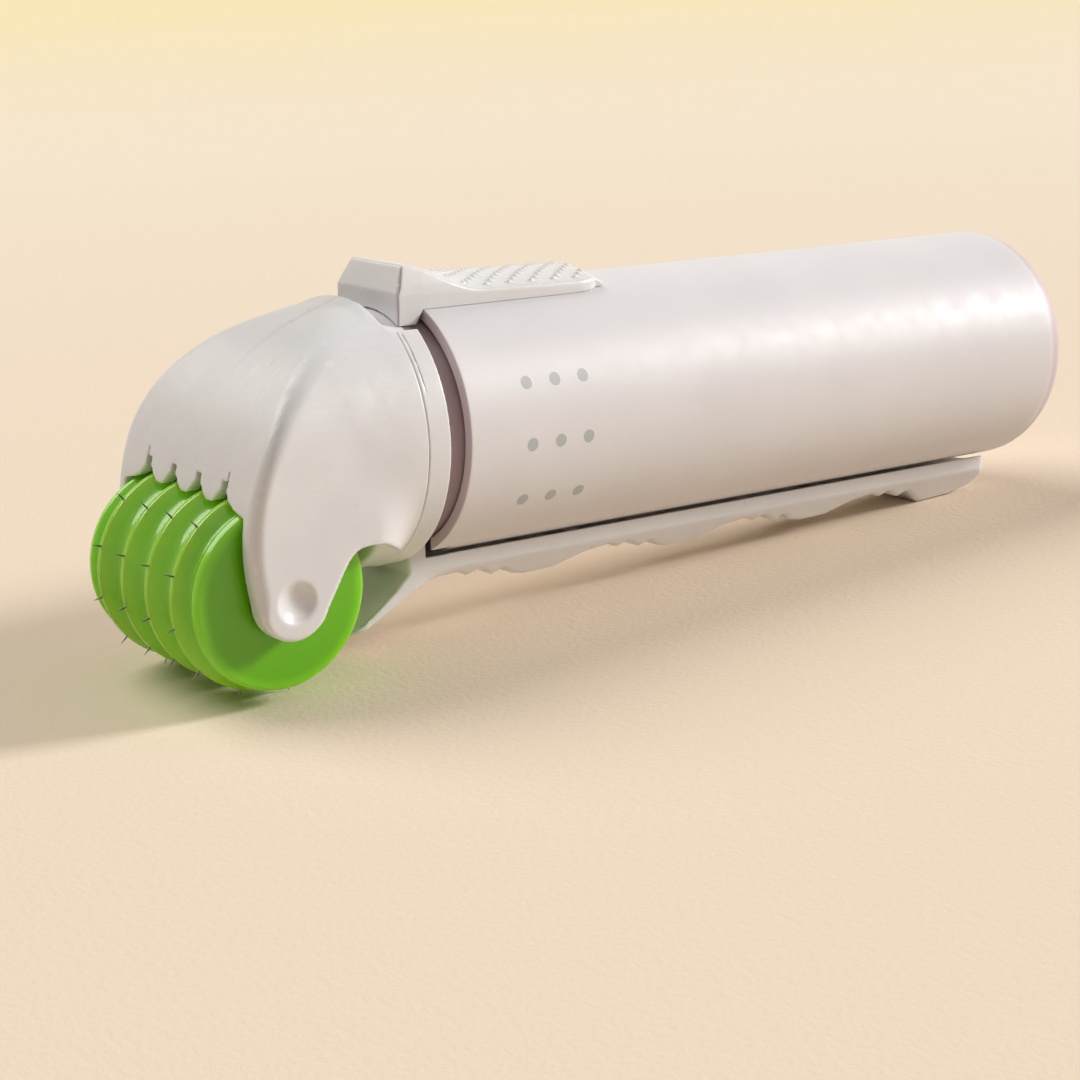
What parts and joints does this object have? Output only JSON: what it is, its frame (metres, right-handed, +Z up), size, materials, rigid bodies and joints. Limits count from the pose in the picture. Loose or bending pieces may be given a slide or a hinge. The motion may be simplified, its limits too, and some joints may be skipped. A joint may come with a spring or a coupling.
{
  "type": "derma roller",
  "caption": "Hand-held skin roller with a ribbed drum of short needles between two arms, a handle that holds a vial, a thumb pad and a grip bar.",
  "frame": {"origin": "bottom centre of the bounding box, on the surface that the roller rests on", "axes": "+X towards the head and its drum, +Z up with the roller resting on its lowest needles and the foot of its grip bar, +Y towards the side seen first"},
  "size_m": [0.1334, 0.0308, 0.0432],
  "materials": {
    "white_plastic": "satin, fine moulded grain",
    "pearl_plastic": "pearl silver-white satin",
    "green_plastic": "glossy, slightly translucent",
    "needle_steel": "bright, etched edges",
    "acetal": "smooth natural",
    "seal_rubber": "matte",
    "silicone": "matte translucent",
    "vial_glass": "clear",
    "crimp_aluminium": "satin, rolled edge"
  },
  "bodies": {
    "head": {"hood_shell": "white_plastic", "neck_collar": "white_plastic", "grip_bar": "white_plastic", "neck_o_ring": "seal_rubber", "axle_pin": "needle_steel", "piercing_spike": "needle_steel", "spike_seal": "silicone", "drip_nozzle": "silicone", "return_spring": "needle_steel"},
    "drum": {"drum_hub": "green_plastic", "hub_bush_near": "acetal", "hub_bush_far": "acetal", "drum_end_near": "green_plastic", "drum_end_far": "green_plastic", "drum_disc_1": "green_plastic", "drum_disc_2": "green_plastic", "drum_disc_3": "green_plastic", "needle_ring_1": "needle_steel", "needle_ring_2": "needle_steel", "needle_ring_3": "needle_steel", "needle_ring_4": "needle_steel"},
    "vial_carriage": {"vial_cup": "acetal", "vial_glass": "vial_glass", "vial_stopper": "seal_rubber", "crimp_cap": "crimp_aluminium"},
    "handle": {"handle_tube": "pearl_plastic", "thumb_pad": "white_plastic", "drive_ring": "acetal", "follower_cup": "acetal", "hold_spring": "needle_steel"}
  },
  "joints": [
    {"name": "drum_spin", "type": "hinge", "parent": "head", "child": "drum", "pos_m": [0.05471, 0, 0.01195], "axis": [0, 1, 0], "continuous": true},
    {"name": "dose_slide", "type": "slide", "parent": "head", "child": "vial_carriage", "axis": [0.9983, 0, 0.0584], "range_m": [0, 0.0026], "stiffness_N_per_m": 350, "springref_m": -0.006, "deforming": ["return_spring"]},
    {"name": "handle_draw", "type": "slide", "parent": "vial_carriage", "child": "handle", "axis": [0.9983, 0, 0.0584], "range_m": [-0.062, 0]}
  ]
}
